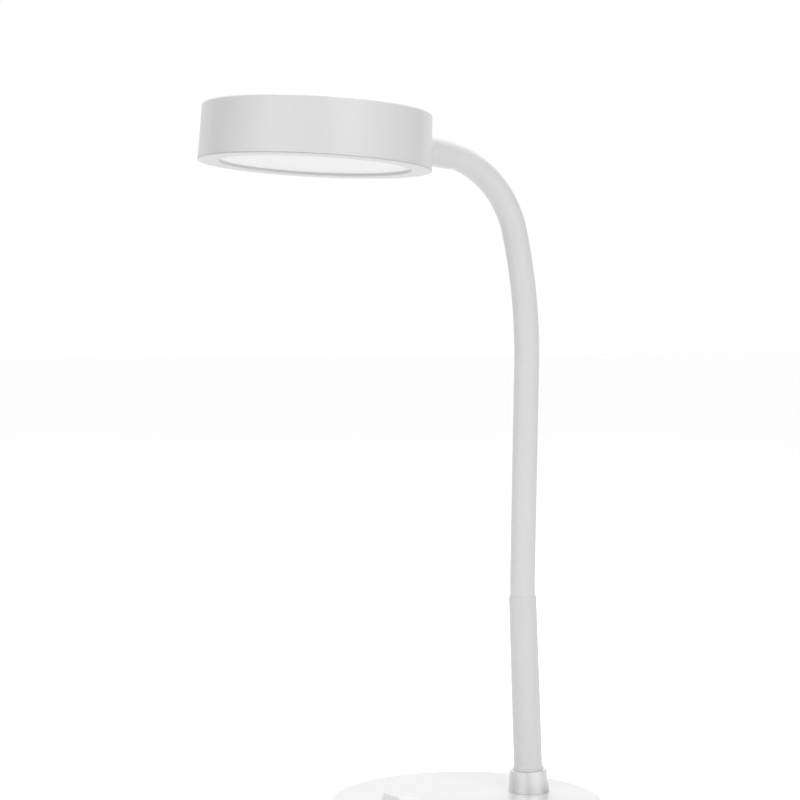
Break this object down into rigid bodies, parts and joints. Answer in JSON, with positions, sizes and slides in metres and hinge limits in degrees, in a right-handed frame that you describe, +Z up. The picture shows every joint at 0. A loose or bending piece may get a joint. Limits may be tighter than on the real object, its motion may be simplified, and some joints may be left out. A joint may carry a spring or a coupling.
{
  "type": "uv curing lamp",
  "caption": "UV curing lamp with a shallow round disc head that shines downwards, a flexible sleeved gooseneck and a weighted round base with a rocker switch.",
  "frame": {"origin": "centre of the round base on the surface it stands on (underside of the rubber pad)", "axes": "+Z up, the lamp head over -Y and the neck's foot towards +Y; X across the lamp"},
  "size_m": [0.132, 0.203, 0.3523],
  "materials": {
    "white_shell": "smooth satin white",
    "white_button": "smooth satin white",
    "base_steel": "black powder coat",
    "ballast_iron": "bare, lightly oiled",
    "pad_rubber": "matte",
    "gasket_rubber": "matte",
    "screw_steel": "zinc plated",
    "collar_metal": "satin nickel plated",
    "stem_metal": "nickel plated",
    "sleeve_rubber": "smooth satin pale grey",
    "boot_rubber": "smooth satin pale grey",
    "hose_steel": "bare wound strip",
    "lead_jacket": "PVC insulation",
    "black_plastic": "moulded",
    "contact_brass": "plain",
    "board_laminate": "solder mask",
    "driver_components": "moulded",
    "diffuser_acrylic": "frosted",
    "reflector_white": "matte white",
    "board_aluminium": "white solder mask",
    "led_package": "encapsulated",
    "spreader_aluminium": "mill finish"
  },
  "bodies": {
    "base": {"base_cover": "white_shell", "base_plate": "base_steel", "rubber_pad": "pad_rubber", "base_screws": "screw_steel", "ballast_weight": "ballast_iron", "collar": "collar_metal", "neck_gasket": "gasket_rubber", "neck_stem": "stem_metal", "stem_washer": "screw_steel", "stem_nut": "screw_steel", "lower_sleeve": "boot_rubber", "neck_root": "sleeve_rubber", "neck_hose": "hose_steel", "neck_leads": "lead_jacket", "rocker_pin": "screw_steel", "switch_housing": "white_button", "switch_terminals": "contact_brass", "power_socket": "black_plastic", "socket_pin": "contact_brass", "socket_tabs": "contact_brass", "socket_nut": "screw_steel", "driver_board": "board_laminate", "driver_parts": "driver_components", "board_screws": "screw_steel", "supply_leads": "lead_jacket"},
    "rocker": {"rocker_button": "white_button", "contact_bridge": "contact_brass"},
    "neck_01": {"neck_link_01": "sleeve_rubber"},
    "neck_02": {"neck_link_02": "sleeve_rubber"},
    "neck_03": {"neck_link_03": "sleeve_rubber"},
    "neck_04": {"neck_link_04": "sleeve_rubber"},
    "neck_05": {"neck_link_05": "sleeve_rubber"},
    "neck_06": {"neck_link_06": "sleeve_rubber"},
    "neck_07": {"neck_link_07": "sleeve_rubber"},
    "neck_08": {"neck_link_08": "sleeve_rubber"},
    "neck_09": {"neck_link_09": "sleeve_rubber"},
    "neck_10": {"neck_link_10": "sleeve_rubber"},
    "neck_11": {"neck_link_11": "sleeve_rubber"},
    "neck_12": {"neck_link_12": "sleeve_rubber"},
    "neck_13": {"neck_link_13": "sleeve_rubber"},
    "neck_14": {"neck_link_14": "sleeve_rubber"},
    "neck_15": {"neck_link_15": "sleeve_rubber"},
    "neck_16": {"neck_link_16": "sleeve_rubber"},
    "neck_17": {"neck_link_17": "sleeve_rubber"},
    "neck_18": {"neck_link_18": "sleeve_rubber"},
    "neck_19": {"neck_link_19": "sleeve_rubber"},
    "head": {"head_shell": "white_shell", "head_bezel": "white_shell", "diffuser_lens": "diffuser_acrylic", "reflector_cone": "reflector_white", "led_board": "board_aluminium", "uv_leds": "led_package", "heat_spreader": "spreader_aluminium", "head_screws": "screw_steel", "head_ferrule": "sleeve_rubber", "head_stem": "stem_metal", "head_nut": "screw_steel"}
  },
  "joints": [
    {"name": "neck_joint_01", "type": "hinge", "parent": "base", "child": "neck_01", "pos_m": [0, 0.03204, 0.12212], "axis": [1, 0, 0], "range_deg": [-12, 10], "deforming": ["neck_hose", "neck_leads"]},
    {"name": "neck_joint_02", "type": "hinge", "parent": "neck_01", "child": "neck_02", "pos_m": [0, 0.03229, 0.13411], "axis": [0, 0.9998, -0.0209], "range_deg": [-12, 12]},
    {"name": "neck_joint_03", "type": "hinge", "parent": "neck_02", "child": "neck_03", "pos_m": [0, 0.03254, 0.14611], "axis": [1, 0, 0], "range_deg": [-12, 10]},
    {"name": "neck_joint_04", "type": "hinge", "parent": "neck_03", "child": "neck_04", "pos_m": [0, 0.03279, 0.15811], "axis": [1, 0, 0], "range_deg": [-12, 10]},
    {"name": "neck_joint_05", "type": "hinge", "parent": "neck_04", "child": "neck_05", "pos_m": [0, 0.03304, 0.1701], "axis": [1, 0, 0], "range_deg": [-12, 10]},
    {"name": "neck_joint_06", "type": "hinge", "parent": "neck_05", "child": "neck_06", "pos_m": [0, 0.03329, 0.1821], "axis": [0, 0.9998, -0.0209], "range_deg": [-12, 12]},
    {"name": "neck_joint_07", "type": "hinge", "parent": "neck_06", "child": "neck_07", "pos_m": [0, 0.03355, 0.1941], "axis": [1, 0, 0], "range_deg": [-9, 8]},
    {"name": "neck_joint_08", "type": "hinge", "parent": "neck_07", "child": "neck_08", "pos_m": [0, 0.0338, 0.2061], "axis": [1, 0, 0], "range_deg": [-9, 8]},
    {"name": "neck_joint_09", "type": "hinge", "parent": "neck_08", "child": "neck_09", "pos_m": [0, 0.03405, 0.21809], "axis": [1, 0, 0], "range_deg": [-9, 8]},
    {"name": "neck_joint_10", "type": "hinge", "parent": "neck_09", "child": "neck_10", "pos_m": [0, 0.0343, 0.23009], "axis": [0, 1, -0.0097], "range_deg": [-12, 12]},
    {"name": "neck_joint_11", "type": "hinge", "parent": "neck_10", "child": "neck_11", "pos_m": [0, 0.03428, 0.24209], "axis": [1, 0, 0], "range_deg": [-9, 8]},
    {"name": "neck_joint_12", "type": "hinge", "parent": "neck_11", "child": "neck_12", "pos_m": [0, 0.03369, 0.25407], "axis": [1, 0, 0], "range_deg": [-9, 8]},
    {"name": "neck_joint_13", "type": "hinge", "parent": "neck_12", "child": "neck_13", "pos_m": [0, 0.03252, 0.26602], "axis": [1, 0, 0], "range_deg": [-9, 8]},
    {"name": "neck_joint_14", "type": "hinge", "parent": "neck_13", "child": "neck_14", "pos_m": [0, 0.03078, 0.27789], "axis": [0, 0.9857, 0.1686], "range_deg": [-12, 12]},
    {"name": "neck_joint_15", "type": "hinge", "parent": "neck_14", "child": "neck_15", "pos_m": [0, 0.02848, 0.28966], "axis": [1, 0, 0], "range_deg": [-9, 8]},
    {"name": "neck_joint_16", "type": "hinge", "parent": "neck_15", "child": "neck_16", "pos_m": [0, 0.02535, 0.30124], "axis": [1, 0, 0], "range_deg": [-17.71, 3.1]},
    {"name": "neck_joint_17", "type": "hinge", "parent": "neck_16", "child": "neck_17", "pos_m": [0, 0.01979, 0.31184], "axis": [1, 0, 0], "range_deg": [-20, 3.5]},
    {"name": "neck_joint_18", "type": "hinge", "parent": "neck_17", "child": "neck_18", "pos_m": [0, 0.01179, 0.32074], "axis": [1, 0, 0], "range_deg": [-20, 3.5]},
    {"name": "neck_joint_19", "type": "hinge", "parent": "neck_18", "child": "neck_19", "pos_m": [0, 0.00184, 0.32739], "axis": [1, 0, 0], "range_deg": [-20, 3.5]},
    {"name": "neck_joint_20", "type": "hinge", "parent": "neck_19", "child": "head", "pos_m": [0, -0.00944, 0.33139], "axis": [1, 0, 0], "range_deg": [-15.89, 2.78]},
    {"name": "rocker_tilt", "type": "hinge", "parent": "base", "child": "rocker", "pos_m": [0, -0.0381, 0.0197], "axis": [1, 0, 0], "range_deg": [0, 26]}
  ]
}
